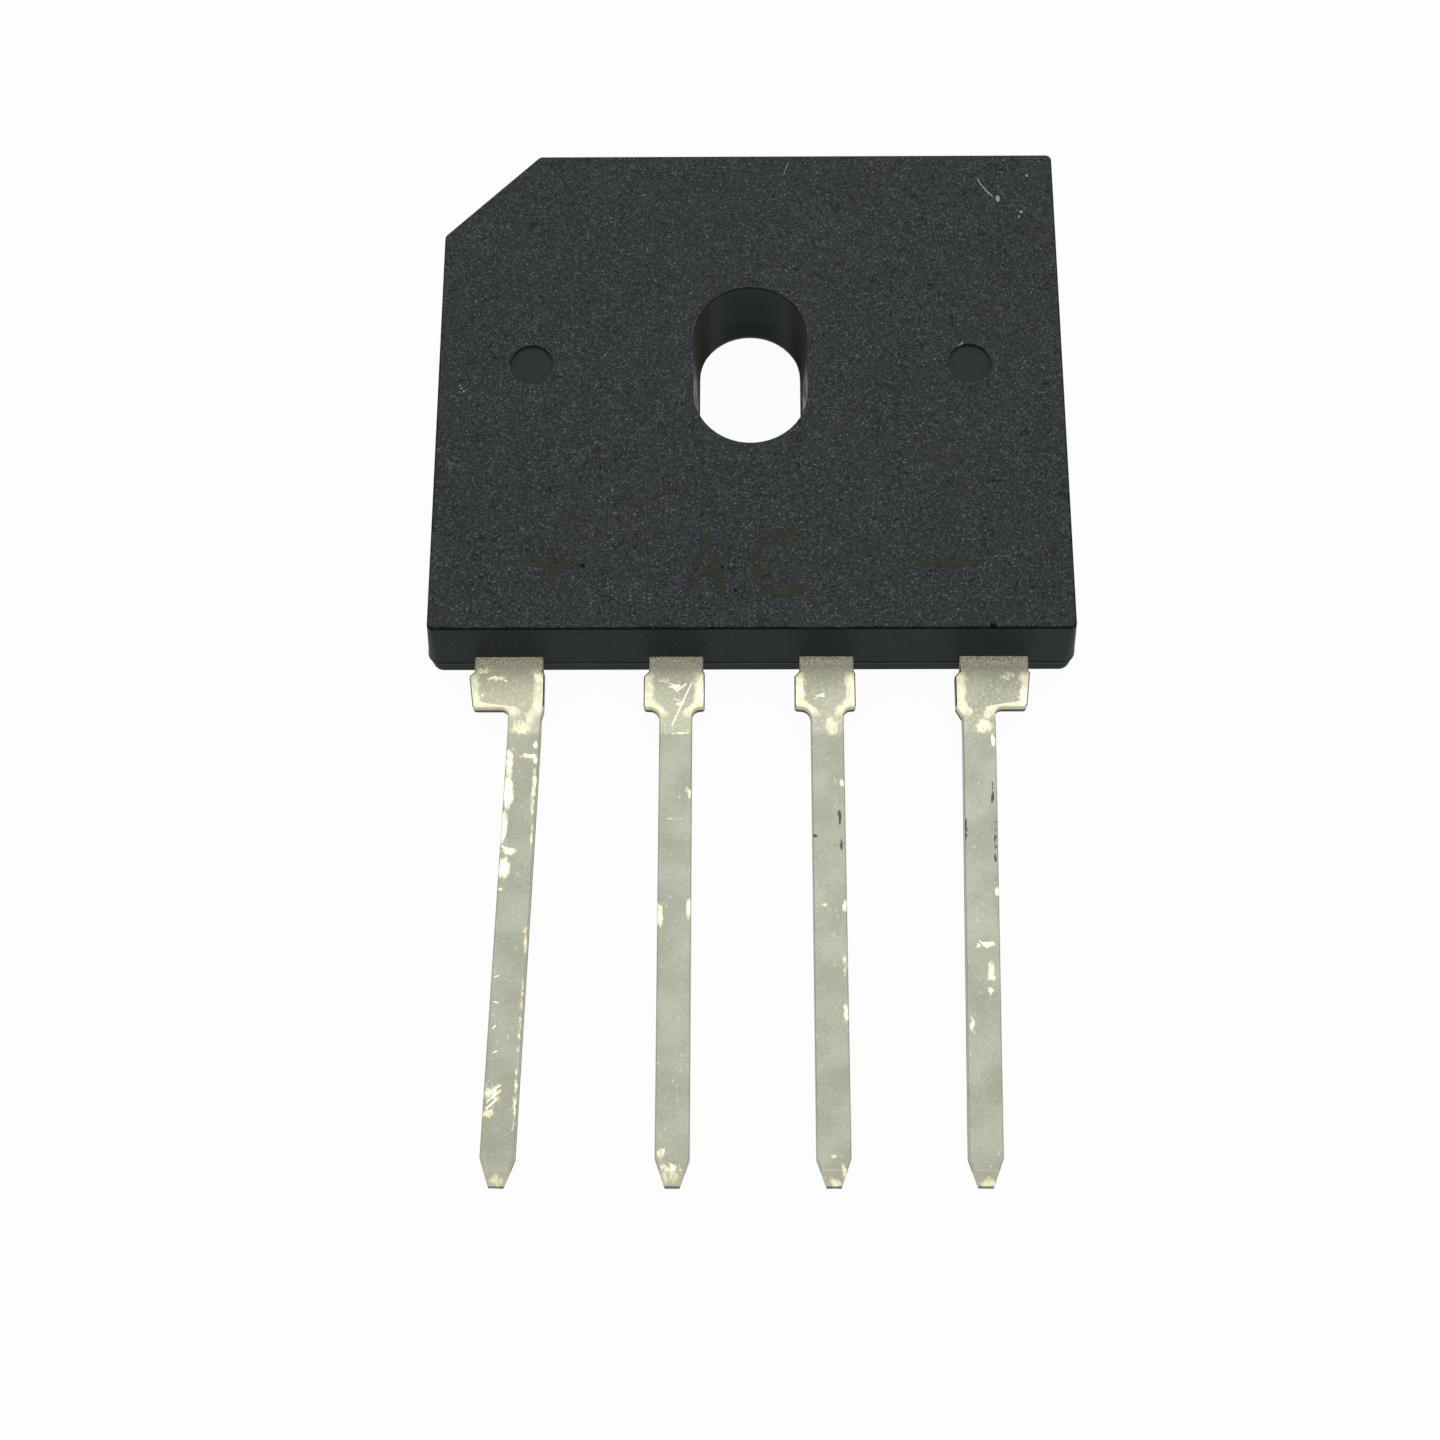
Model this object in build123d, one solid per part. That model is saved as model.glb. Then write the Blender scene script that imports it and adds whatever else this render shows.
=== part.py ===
from build123d import *
import os
from math import cos, radians, sin, sqrt, tan

# A single-in-line bridge rectifier lying on its back, in millimetres.
# The origin is the middle of the screw slot on the back face. X runs along the row of leads,
# Y from the leads towards the top of the body, and Z out of the front face.

# Moulded body, measured at the parting line where it is widest, with its corners rounded at the front face
body_width = 22.0
body_height = 18.76
body_thickness = 3.4
side_draft = 5.5
corner_cut = 3.4
corner_radius = 0.2
edge_radius = 0.12

# Screw slot: narrowest on a land below the parting line, from which it opens towards both faces
slot_width = 3.58
slot_length = 5.72
slot_land = 0.6
slot_draft = 4.0
slot_back_draft = 15.0
slot_above_middle = 0.73

# Ejector-pin marks, level with the middle of the slot
pin_mark_spacing = 15.1
pin_mark_diameter = 1.5
pin_mark_depth = 0.12

# Lead frame strip, with its back on the parting plane
frame_above_back = 0.85
frame_thickness = 0.5
lead_pitch = 5.08
lead_length = 17.76
exit_length = 0.48
shoulder_end = 1.78
shank_width = 1.1
inner_exit_width = 1.83
outer_exit_reach = 1.73
near_exit_reach = 0.58
shoulder_slant = 0.15
neck_bevel = 0.35
inner_neck_radius = 0.4
outer_neck_radius = 0.25
shoulder_corner_radius = 0.12
strip_edge_radius = 0.05

# Dam bar: the stub left beside each lead, and how far the trimming tool sat towards -X
dam_bar_stub = 0.11
trim_shift = 0.06

# Lead tips: tapered in width, and coined thinner at the very end
tip_length = 0.9
tip_width = 0.47
coined_length = 0.5
coined_depth = 0.12

# Outer leads knocked sideways below this distance from the body, in degrees towards -X
bend_distance = 2.75
lean_positive = 1.7
lean_negative = 1.27

# Pads of the lead frame inside the body
frame_margin = 1.0
slot_wall = 1.0
pad_gap = 0.6
pad_split_in_pitches = 1.3

# Diode dice, copper clips and the solder between them
die_size = 2.4
die_thickness = 0.25
solder_thickness = 0.06
clip_width = 1.4
clip_thickness = 0.3
clip_contact = 1.6
clip_landing = 1.3
clip_ramp = 0.9

# Heights and outlines that follow from the sizes above
frame_top = frame_above_back + frame_thickness
parting_height = frame_above_back
front_height = body_thickness - parting_height
parting_corner_radius = corner_radius + front_height * tan(radians(side_draft))
body_bottom = -body_height / 2 - slot_above_middle
body_top = body_height / 2 - slot_above_middle
land_bottom = parting_height - slot_land
slot_opening = front_height * tan(radians(slot_draft))
die_bottom = frame_top + solder_thickness
die_top = die_bottom + die_thickness
clip_on_die = die_top + solder_thickness
clip_on_pad = frame_top + solder_thickness

pad_side = body_width / 2 - frame_margin
pad_top = body_top - frame_margin
pad_bottom = body_bottom + frame_margin
pad_cut = corner_cut - frame_margin * (2 - sqrt(2))
slot_clear_x = slot_width / 2 + slot_opening + slot_wall
slot_clear_y = slot_length / 2 + slot_opening + slot_wall
pad_split = lead_pitch * pad_split_in_pitches
arm_side = pad_split - pad_gap / 2
column_side = pad_split + pad_gap / 2
arm_top = slot_clear_y - pad_gap

die_column_x = (slot_clear_x + arm_side) / 2
upper_die_y = (slot_clear_y + pad_top) / 2
lower_die_x = (pad_gap / 2 + arm_side) / 2
lower_die_y = (pad_bottom - slot_clear_y) / 2
die_places = [
    (-die_column_x, upper_die_y),
    (die_column_x, upper_die_y),
    (-lower_die_x, lower_die_y),
    (lower_die_x, lower_die_y),
]


def plate(points, bottom, thickness):
    """A flat plate with the given corners, standing on the height bottom."""
    outline = make_face(Polyline(*points, close=True))
    return extrude(Pos(0, 0, bottom) * outline, thickness)


def block(x, y, bottom, length, width, height):
    """A block centred on x and y, standing on the height bottom."""
    return Pos(x, y, bottom) * Box(
        length, width, height, align=(Align.CENTER, Align.CENTER, Align.MIN)
    )


def round_corner(outline, x, y, radius):
    """The outline with the corner nearest to x and y rounded."""
    corner = outline.vertices().sort_by_distance((x, y, 0))[0]
    return fillet(corner, radius)


def body_blank():
    """The moulded block: two drafted halves that meet at the parting line."""
    side = body_width / 2
    corners = [
        (-side, body_bottom),
        (side, body_bottom),
        (side, body_top),
        (-side + corner_cut, body_top),
        (-side, body_top - corner_cut),
    ]
    outline = make_face(Polyline(*corners, close=True))
    outline = fillet(outline.vertices(), parting_corner_radius)
    outline = Pos(0, 0, parting_height) * outline
    front = extrude(outline, front_height, taper=side_draft)
    back = extrude(outline, -parting_height, taper=side_draft)
    front = fillet(front.edges().group_by(Axis.Z)[-1], edge_radius)
    back = fillet(back.edges().group_by(Axis.Z)[0], edge_radius)
    return front + back


def slot_cut():
    """The screw slot: a straight land for the screw and a part that opens towards either face."""
    section = Rot(0, 0, 90) * SlotOverall(slot_length, slot_width)
    land = extrude(Pos(0, 0, land_bottom) * section, slot_land)
    front = extrude(Pos(0, 0, parting_height) * section, front_height, taper=-slot_draft)
    back = extrude(Pos(0, 0, land_bottom) * section, -land_bottom, taper=-slot_back_draft)
    return land + front + back


def pin_marks():
    """The two shallow round marks that the ejector pins leave in the front face."""
    mark = Cylinder(
        pin_mark_diameter / 2, pin_mark_depth, align=(Align.CENTER, Align.CENTER, Align.MAX)
    )
    return [
        Pos(side * pin_mark_spacing / 2, 0, body_thickness) * mark for side in (-1, 1)
    ]


def leaned(points, centre, lean):
    """Points of a lead below the bend, turned about the bend by the lean angle."""
    pivot = body_bottom - bend_distance
    turn = radians(-lean)
    return [
        (
            centre + (x - centre) * cos(turn) - (y - pivot) * sin(turn),
            pivot + (x - centre) * sin(turn) + (y - pivot) * cos(turn),
        )
        for x, y in points
    ]


def neck(centre, side, reach, stub):
    """One side of a lead from inside the body down to its shank, and the neck's rounded corners."""
    outer = reach > inner_exit_width / 2
    slant = shoulder_slant if outer else 0
    half = shank_width / 2
    edge = reach + stub - slant
    step = edge - half
    points = [
        (reach, -frame_margin / 2),
        (reach, exit_length),
        (reach + stub, exit_length + stub),
        (edge, shoulder_end),
    ]
    corners = []
    if step < neck_bevel:
        points.append((half, shoulder_end + neck_bevel))
    else:
        points.append((half, shoulder_end))
        radius = outer_neck_radius if outer else inner_neck_radius
        corners.append((edge, shoulder_end, min(shoulder_corner_radius, step / 4)))
        corners.append((half, shoulder_end, min(radius, step * 0.65)))
    placed = [(centre + side * x, body_bottom - y) for x, y in points]
    rounded = [(centre + side * x, body_bottom - y, r) for x, y, r in corners]
    return placed, rounded


def lead_strip(centre, left_reach, right_reach, lean):
    """The part of a lead outside the body, with a short tail inside it."""
    left, left_corners = neck(centre, -1, left_reach, dam_bar_stub + trim_shift)
    right, right_corners = neck(centre, 1, right_reach, dam_bar_stub - trim_shift)
    tip = body_bottom - lead_length
    shank = [
        (centre - shank_width / 2, tip + tip_length),
        (centre - tip_width / 2, tip),
        (centre + tip_width / 2, tip),
        (centre + shank_width / 2, tip + tip_length),
    ]
    if lean:
        bend = body_bottom - bend_distance
        shank = [(centre - shank_width / 2, bend), *shank, (centre + shank_width / 2, bend)]
        shank = leaned(shank, centre, lean)
    outline = make_face(Polyline(*left, *shank, *reversed(right), close=True))
    for x, y, radius in left_corners + right_corners:
        outline = round_corner(outline, x, y, radius)
    strip = extrude(Pos(0, 0, frame_above_back) * outline, frame_thickness)
    tail = body_bottom + frame_margin / 2
    faces = strip.edges().group_by(Axis.Z)
    rims = [edge for edge in faces[0] + faces[-1] if edge.center().Y < tail - strip_edge_radius]
    strip = fillet(rims, strip_edge_radius)
    return strip - coined_tip(centre, lean)


def coined_tip(centre, lean):
    """Two wedges that thin the tip of a lead from the front and from the back."""
    tip = body_bottom - lead_length
    start = tip + coined_length
    slope = coined_depth / coined_length
    beyond = tip - coined_length
    depth = coined_depth + slope * coined_length
    wedges = []
    for face, way in ((frame_top, 1), (frame_above_back, -1)):
        corners = [
            (start, face),
            (beyond, face - way * depth),
            (beyond, face + way * frame_thickness),
            (start, face + way * frame_thickness),
        ]
        section = make_face(Polyline(*corners, close=True))
        wedge = extrude(Plane.YZ * section, shank_width, both=True)
        wedges.append(Pos(centre, 0, 0) * wedge)
    turned = Location((centre, body_bottom - bend_distance, 0), (0, 0, -lean))
    untouched = Location((centre, body_bottom - bend_distance, 0))
    return [turned * untouched.inverse() * wedge for wedge in wedges]


def pad(points):
    """A pad of the lead frame with the given corners."""
    return plate(points, frame_above_back, frame_thickness)


def pad_tail(centre, left_reach, right_reach):
    """The strip that joins a pad to the part of its lead outside the body."""
    tail = body_bottom + frame_margin / 2
    middle = (pad_bottom + tail) / 2
    width = left_reach + right_reach
    x = centre + (right_reach - left_reach) / 2
    return block(x, middle, frame_above_back, width, pad_bottom - tail, frame_thickness)


def positive_pad():
    """The left column with the band above the slot, which carries two dice."""
    return pad(
        [
            (-pad_side, pad_bottom),
            (-pad_side, pad_top - pad_cut),
            (-pad_side + pad_cut, pad_top),
            (arm_side, pad_top),
            (arm_side, slot_clear_y),
            (-column_side, slot_clear_y),
            (-column_side, pad_bottom),
        ]
    )


def negative_pad():
    """The right column, which takes the foot of the common clip."""
    return pad(
        [
            (column_side, pad_bottom),
            (pad_side, pad_bottom),
            (pad_side, pad_top),
            (column_side, pad_top),
        ]
    )


def ac_pad(side):
    """The base below the slot with an arm beside it, on the given side."""
    return pad(
        [
            (side * pad_gap / 2, pad_bottom),
            (side * arm_side, pad_bottom),
            (side * arm_side, arm_top),
            (side * slot_clear_x, arm_top),
            (side * slot_clear_x, -slot_clear_y),
            (side * pad_gap / 2, -slot_clear_y),
        ]
    )


def leads():
    """The four leads, each with its pad."""
    inner = inner_exit_width / 2
    rows = {
        "lead_positive": (-1.5, outer_exit_reach, near_exit_reach, lean_positive, positive_pad()),
        "lead_ac_left": (-0.5, inner, inner, 0, ac_pad(-1)),
        "lead_ac_right": (0.5, inner, inner, 0, ac_pad(1)),
        "lead_negative": (1.5, near_exit_reach, outer_exit_reach, lean_negative, negative_pad()),
    }
    made = {}
    for name, (place, left_reach, right_reach, lean, inside) in rows.items():
        centre = place * lead_pitch
        tail = pad_tail(centre, left_reach, right_reach)
        made[name] = lead_strip(centre, left_reach, right_reach, lean) + tail + inside
    return made


def clip(low_start, ramp_start, far_end):
    """A clip along +X: a flat part on the dice, a ramp, and a landing foot at the end."""
    ramp_end = ramp_start + clip_ramp
    under = [
        (low_start, clip_on_die),
        (ramp_start, clip_on_die),
        (ramp_end, clip_on_pad),
        (far_end, clip_on_pad),
    ]
    over = [(x, z + clip_thickness) for x, z in reversed(under)]
    section = make_face(Polyline(*under, *over, close=True))
    return extrude(Plane.XZ * section, clip_width / 2, both=True)


def dice():
    """The four dice with the solder below and above each."""
    made = {}
    for number, (x, y) in enumerate(die_places, start=1):
        made[f"die_solder_{number}"] = block(
            x, y, frame_top, die_size, die_size, solder_thickness
        )
        made[f"diode_die_{number}"] = block(
            x, y, die_bottom, die_size, die_size, die_thickness
        )
        along_y = number <= 2
        length = clip_width if along_y else clip_contact
        width = clip_contact if along_y else clip_width
        made[f"top_solder_{number}"] = block(x, y, die_top, length, width, solder_thickness)
    return made


def clips():
    """The three clips, each with the solder under its landing foot."""
    made = {}
    reach = upper_die_y - slot_clear_y
    ramp_end = reach + pad_gap + clip_ramp
    landing = ramp_end + clip_landing / 2
    shape = clip(-clip_contact / 2, reach + pad_gap, ramp_end + clip_landing)
    for side, name in ((-1, "ac_left"), (1, "ac_right")):
        x = side * die_column_x
        made[f"clip_{name}"] = Pos(x, upper_die_y, 0) * Rot(0, 0, -90) * shape
        made[f"clip_solder_{name}"] = block(
            x, upper_die_y - landing, frame_top, clip_width, clip_landing, solder_thickness
        )
    landing = (column_side + pad_side) / 2
    shape = clip(-lower_die_x - clip_contact / 2, arm_side, landing + clip_landing / 2)
    made["clip_negative"] = Pos(0, lower_die_y, 0) * shape
    made["clip_solder_negative"] = block(
        landing, lower_die_y, frame_top, clip_landing, clip_width, solder_thickness
    )
    return made


def build():
    """All the pieces by name, with the moulded body closed round the inner ones."""
    inside = {**leads(), **dice(), **clips()}
    body = body_blank() - slot_cut() - pin_marks() - list(inside.values())
    return {"moulded_body": body, **inside}


os.makedirs("parts", exist_ok=True)
for node, shape in build().items():
    export_step(shape, f"parts/{node}.step")
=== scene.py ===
"""Looks of a flat single-in-line bridge rectifier lying on its back on a pale table."""

import logging
import math
from dataclasses import dataclass
from enum import Enum
from functools import reduce
from typing import Any

import bmesh
import bpy
import numpy as np
from mathutils import Matrix, Vector


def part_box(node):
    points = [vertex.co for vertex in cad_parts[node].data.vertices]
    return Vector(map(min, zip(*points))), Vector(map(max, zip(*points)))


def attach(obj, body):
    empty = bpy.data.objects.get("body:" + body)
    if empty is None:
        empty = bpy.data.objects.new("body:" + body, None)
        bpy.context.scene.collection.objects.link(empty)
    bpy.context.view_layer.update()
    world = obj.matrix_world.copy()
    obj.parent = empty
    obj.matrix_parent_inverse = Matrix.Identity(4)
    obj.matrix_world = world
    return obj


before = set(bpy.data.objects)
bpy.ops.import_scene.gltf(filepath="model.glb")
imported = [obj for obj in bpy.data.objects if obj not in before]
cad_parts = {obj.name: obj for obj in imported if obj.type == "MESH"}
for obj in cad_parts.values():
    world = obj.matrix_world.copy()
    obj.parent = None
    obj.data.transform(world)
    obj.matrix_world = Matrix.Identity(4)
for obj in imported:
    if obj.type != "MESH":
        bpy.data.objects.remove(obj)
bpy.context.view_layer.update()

log = logging.getLogger("bridge_rectifier")
Socket = bpy.types.NodeSocket
MM = 0.001
# Points closer together than this many millimetres are one point
MERGE_DISTANCE = 0.0001
# Points across a film, how far its rims dip for its crown, and the share of the width that its ends keep
FILM_POINTS = 7
FILM_DIP = 1.3
FILM_END = 0.02
ARC_POINTS = 72
# Directions and rings of a dust speck, its height for its half width, and how far its rim dips
SPECK_DIRECTIONS = 20
SPECK_RINGS = 5
SPECK_CROWN = 0.4
SPECK_DIP = 1.2


class Slot(str, Enum):
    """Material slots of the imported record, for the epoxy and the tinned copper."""

    EPOXY = "epoxy_compound"
    TIN = "tinned_copper"


def linear(hex_colour: str) -> tuple[float, float, float, float]:
    """Turn an sRGB hex colour into linear RGBA.

    Args:
        hex_colour: six hex digits, without a leading sign.

    Returns:
        Linear red, green and blue, with alpha 1.
    """
    parts = np.array([int(hex_colour[i : i + 2], 16) for i in (0, 2, 4)]) / 255
    value = np.where(parts <= 0.04045, parts / 12.92, ((parts + 0.055) / 1.055) ** 2.4)
    return (*value.tolist(), 1.0)


def node(
    tree: bpy.types.NodeTree, kind: str, inputs: dict[Any, Any] | None = None, **settings: Any
) -> bpy.types.Node:
    """Add one node, set its options and set or link its inputs.

    Args:
        tree: the node tree that gets the node.
        kind: the node's type name.
        inputs: values or output sockets by input name or number.
        settings: options of the node itself.

    Returns:
        The new node.
    """
    made = tree.nodes.new(kind)
    for name, value in settings.items():
        setattr(made, name, value)
    for key, value in (inputs or {}).items():
        if isinstance(value, Socket):
            tree.links.new(value, made.inputs[key])
        else:
            made.inputs[key].default_value = value
    return made


class Shading:
    """A material under construction, with short words for its sums and blends."""

    def __init__(self, name: str) -> None:
        """Start an empty material and read the place on the part in millimetres.

        Args:
            name: the material's name.
        """
        self.material = bpy.data.materials.new(name)
        self.material.use_nodes = True
        self.tree = self.material.node_tree
        self.tree.nodes.clear()
        place = node(self.tree, "ShaderNodeTexCoord").outputs["Object"]
        scaled = node(self.tree, "ShaderNodeVectorMath", {0: place, "Scale": 1 / MM}, operation="SCALE")
        self.place = scaled.outputs[0]
        split = node(self.tree, "ShaderNodeSeparateXYZ", {0: self.place})
        self.x, self.y, self.z = split.outputs

    def math(self, operation: str, a: Any, b: Any = 0.0, c: Any = 0.0) -> Socket:
        """Add one sum.

        Args:
            operation: Blender's name of the operation.
            a: first value or socket.
            b: second value or socket.
            c: third value or socket.

        Returns:
            The result's socket.
        """
        return node(self.tree, "ShaderNodeMath", {0: a, 1: b, 2: c}, operation=operation).outputs[0]

    def times(self, *values: Any) -> Socket:
        """Multiply values or sockets, from the first to the last."""
        return reduce(lambda a, b: self.math("MULTIPLY", a, b), values)

    def ramp(self, value: Any, low: float, high: float) -> Socket:
        """Rise smoothly from 0 at low to 1 at high, or fall where high is the smaller.

        Args:
            value: socket that is read.
            low: value that gives 0.
            high: value that gives 1.

        Returns:
            The blend's socket.
        """
        falls = high < low
        limits = {1: min(low, high), 2: max(low, high), 3: float(falls), 4: float(not falls)}
        inputs = {"Value": value, **limits}
        return node(self.tree, "ShaderNodeMapRange", inputs, interpolation_type="SMOOTHSTEP").outputs[0]

    def noise(
        self,
        size: float,
        detail: float = 2.0,
        stretch: tuple[float, float, float] = (1, 1, 1),
        seed: float = 0.0,
    ) -> Socket:
        """Soft noise whose features have a real size.

        Args:
            size: width of a feature in millimetres.
            detail: octaves of finer noise on top.
            stretch: how much longer the features are along each axis.
            seed: offset that makes two noises differ.

        Returns:
            The noise value's socket, about 0 to 1.
        """
        scale = tuple(1 / (size * s) for s in stretch)
        offset = (seed, seed * 1.7, seed * 0.6)
        placed = {"Vector": self.place, "Location": offset, "Scale": scale}
        moved = node(self.tree, "ShaderNodeMapping", placed)
        inputs = {"Vector": moved.outputs[0], "Scale": 1.0, "Detail": detail}
        return node(self.tree, "ShaderNodeTexNoise", inputs).outputs[0]

    def blend(self, share: Any, first: Any, second: Any) -> Socket:
        """Blend two colours.

        Args:
            share: share of the second colour.
            first: hex colour or socket at share 0.
            second: hex colour or socket at share 1.

        Returns:
            The colour's socket.
        """
        first, second = (linear(c) if isinstance(c, str) else c for c in (first, second))
        made = node(self.tree, "ShaderNodeMix", {0: share, 6: first, 7: second}, data_type="RGBA")
        return made.outputs[2]

    def between(self, share: Any, first: Any, second: Any) -> Socket:
        """Blend two numbers, with share 0 giving the first."""
        made = node(self.tree, "ShaderNodeMix", {0: share, 2: first, 3: second}, data_type="FLOAT")
        return made.outputs[0]

    def bump(self, height: Any, depth: float) -> Socket:
        """Turn a height pattern into a bumped normal.

        Args:
            height: socket with the pattern, 0 to 1.
            depth: real depth of the pattern in millimetres.

        Returns:
            The normal's socket.
        """
        inputs = {"Height": height, "Distance": depth * MM, "Strength": 1.0}
        return node(self.tree, "ShaderNodeBump", inputs).outputs[0]

    def finish(self, **inputs: Any) -> bpy.types.Material:
        """Close the material with a principled surface.

        Args:
            inputs: values or sockets by input name, with underscores for spaces.

        Returns:
            The finished material.
        """
        named = {key.replace("_", " "): value for key, value in inputs.items()}
        surface = node(self.tree, "ShaderNodeBsdfPrincipled", named)
        node(self.tree, "ShaderNodeOutputMaterial", {"Surface": surface.outputs[0]})
        return self.material


@dataclass(frozen=True)
class MouldedEpoxy:
    """Black epoxy compound, transfer moulded.

    It is sandy where the mould was spark-eroded, with its grit's hollows painted dark as shade and pale
    specks painted on its peaks as glints, and smooth on its sides.
    """

    body: "MouldedBody"
    ground: str = "293032"
    # Painted shade: the grit's hollows are darker
    hollow: str = "101415"
    side: str = "272e30"
    side_shade: str = "1e2425"
    # Painted light: the slot's walls are paler than the sides to make up for the little light inside the
    # slot, and its flat walls paler still in place of their grazing sheen
    slot_wall: str = "31393b"
    slot_flank: str = "40413d"
    # Painted shade: the sides below the parting line, a thin band just above it and the bottom of the slot
    # are darkened to this colour
    under: str = "161b1d"
    mark: str = "252b2d"
    # Painted highlight: pale specks on the grit's peaks stand for its glints
    speck: str = "969b9b"
    brown: str = "2c2a21"
    # Rubbed streaks on the slot's flat walls, painted pale also as their grazing sheen
    worn: str = "636766"
    shadow: str = "090b0b"
    # Real grit is about 0.05 mm; drawn a little coarser so that it still shows at the photograph's distance
    grit: float = 0.07
    grit_depth: float = 0.018
    mottle: float = 4.5
    # Specular levels, and the share of them that the dark edge line and the nicks keep
    sandy_gloss: float = 0.26
    side_gloss: float = 0.043
    under_gloss: float = 0.016
    mark_gloss: float = 0.13
    flank_gloss: float = 0.02
    worn_gloss: float = 0.55
    dark_gloss: float = 0.15
    sandy_roughness: float = 0.6
    side_roughness: float = 0.45
    flank_roughness: float = 0.8
    worn_roughness: float = 0.36

    def material(self) -> bpy.types.Material:
        """Make the material.

        Returns:
            A near-black matte surface with pale sparkling grit on the front and back faces.
        """
        body = self.body
        s = Shading("epoxy_compound_moulded")
        on_front = s.ramp(s.z, body.thickness - 0.03, body.thickness - 0.005)
        on_back = s.ramp(s.z, 0.03, 0.005)
        sandy = s.math("MAXIMUM", on_front, on_back)
        grit = s.noise(self.grit, detail=2.0)
        fine = s.noise(self.grit * 0.7, detail=1.0, seed=3.1)
        in_slot = self.in_slot(s)
        # Painted shade: darker below the parting line and in a thin band just above it, darker towards the
        # bottom of the slot, and with less gloss there
        low = s.ramp(s.z, body.parting + 0.2, body.parting + 0.04)
        slot_depth_shade = s.times(s.ramp(s.z, body.thickness * 0.55, 0.2), 0.7)
        under = s.between(in_slot, low, slot_depth_shade)
        plain = s.blend(s.ramp(grit, 0.4, 0.6), self.side_shade, self.side)
        flank = s.times(in_slot, s.ramp(s.math("ABSOLUTE", s.x), 1.2, 1.75))
        flank = s.times(flank, s.math("SUBTRACT", 1.0, sandy))
        # Painted light: the slot's walls are paler than the sides, and their flat parts paler still
        plain = s.blend(in_slot, plain, s.blend(flank, self.slot_wall, self.slot_flank))
        plain = s.blend(under, plain, self.under)
        colour = s.blend(sandy, plain, self.grit_colour(s, grit, fine))
        # Rubbed streaks, painted pale also as grazing sheen on the slot's flat walls
        wear = s.times(self.slot_wear_and_sheen(s), in_slot)
        colour = s.blend(wear, colour, self.worn)
        edge = self.edge_line(s, grit)
        colour = s.blend(edge, colour, self.shadow)
        in_mark = s.times(self.near_mark(s), s.math("SUBTRACT", 1.0, sandy))
        colour = s.blend(in_mark, colour, self.mark)
        nicked = self.nicked(s, grit)
        colour = s.blend(nicked, colour, self.shadow)
        relief = s.between(sandy, s.times(grit, 0.2), grit)
        gloss = s.between(in_mark, s.between(under, self.side_gloss, self.under_gloss), self.mark_gloss)
        gloss = s.between(sandy, gloss, self.sandy_gloss)
        gloss = s.between(flank, gloss, s.between(wear, self.flank_gloss, self.worn_gloss))
        dark = s.math("MAXIMUM", edge, nicked)
        gloss = s.times(gloss, s.between(dark, 1.0, self.dark_gloss))
        rough = s.between(wear, self.flank_roughness, self.worn_roughness)
        rough = s.between(flank, self.side_roughness, rough)
        return s.finish(
            Base_Color=colour,
            Roughness=s.between(sandy, rough, self.sandy_roughness),
            Specular_IOR_Level=gloss,
            Normal=s.bump(relief, self.grit_depth),
        )

    def grit_colour(self, s: Shading, grit: Socket, fine: Socket) -> Socket:
        """Colour of the sandy faces: hollows painted dark as shade, charcoal ground, brown clouds and pale
        specks painted as glints.

        Args:
            s: the material under construction.
            grit: noise with the size of the grit.
            fine: finer noise that breaks the specks up.

        Returns:
            The colour's socket.
        """
        mottle = s.noise(self.mottle, detail=1.0, seed=7.0)
        drift = s.noise(0.6, detail=1.0, seed=1.0)
        # Painted shade in the grit's hollows
        colour = s.blend(s.ramp(grit, 0.36, 0.6), self.hollow, self.ground)
        colour = s.blend(s.times(s.ramp(mottle, 0.45, 0.75), 0.16), colour, self.brown)
        thick = s.math("MULTIPLY_ADD", drift, 0.12, s.math("SUBTRACT", fine, 0.06))
        # Painted highlight: pale specks on the grit's peaks
        specks = s.times(s.ramp(grit, 0.5, 0.72), s.ramp(thick, 0.5, 0.7))
        return s.blend(s.times(specks, 0.6), colour, self.speck)

    def in_slot(self, s: Shading) -> Socket:
        """Find the walls of the screw slot, which see little light.

        Args:
            s: the material under construction.

        Returns:
            A share that is 1 on the slot's walls.
        """
        body = self.body
        beside = s.ramp(s.math("ABSOLUTE", s.x), body.slot_width / 2 + 0.3, body.slot_width / 2 + 0.2)
        along = s.ramp(s.math("ABSOLUTE", s.y), body.slot_length / 2 + 0.3, body.slot_length / 2 + 0.2)
        return s.times(beside, along)

    def near_mark(self, s: Shading) -> Socket:
        """Find the two ejector-pin marks, which lie alike on either side of the slot.

        Args:
            s: the material under construction.

        Returns:
            A share that is 1 on either mark and just round it.
        """
        body = self.body
        folded = node(s.tree, "ShaderNodeCombineXYZ", {0: s.math("ABSOLUTE", s.x), 1: s.y}).outputs[0]
        inputs = {0: folded, 1: (body.mark_spacing / 2, 0.0, 0.0)}
        away = node(s.tree, "ShaderNodeVectorMath", inputs, operation="DISTANCE").outputs["Value"]
        over = s.ramp(s.z, body.thickness - body.mark_depth - 0.02, body.thickness - body.mark_depth - 0.01)
        return s.times(s.ramp(away, body.mark_diameter / 2 + 0.1, body.mark_diameter / 2 + 0.05), over)

    def nicked(self, s: Shading, grit: Socket) -> Socket:
        """Find the small dark nicks and pits in the front face and its edge.

        Args:
            s: the material under construction.
            grit: noise that makes the nicks uneven.

        Returns:
            A share that is 1 in the nicks.
        """
        body = self.body
        total: Any = 0.0
        for x, y, radius in body.nicks:
            inputs = {0: s.place, 1: (x, y, body.thickness)}
            away = node(s.tree, "ShaderNodeVectorMath", inputs, operation="DISTANCE").outputs["Value"]
            ragged = s.math("MULTIPLY_ADD", grit, radius, away)
            total = s.math("MAXIMUM", total, s.ramp(ragged, radius * 1.4, radius))
        return s.times(total, 0.95)

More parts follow.
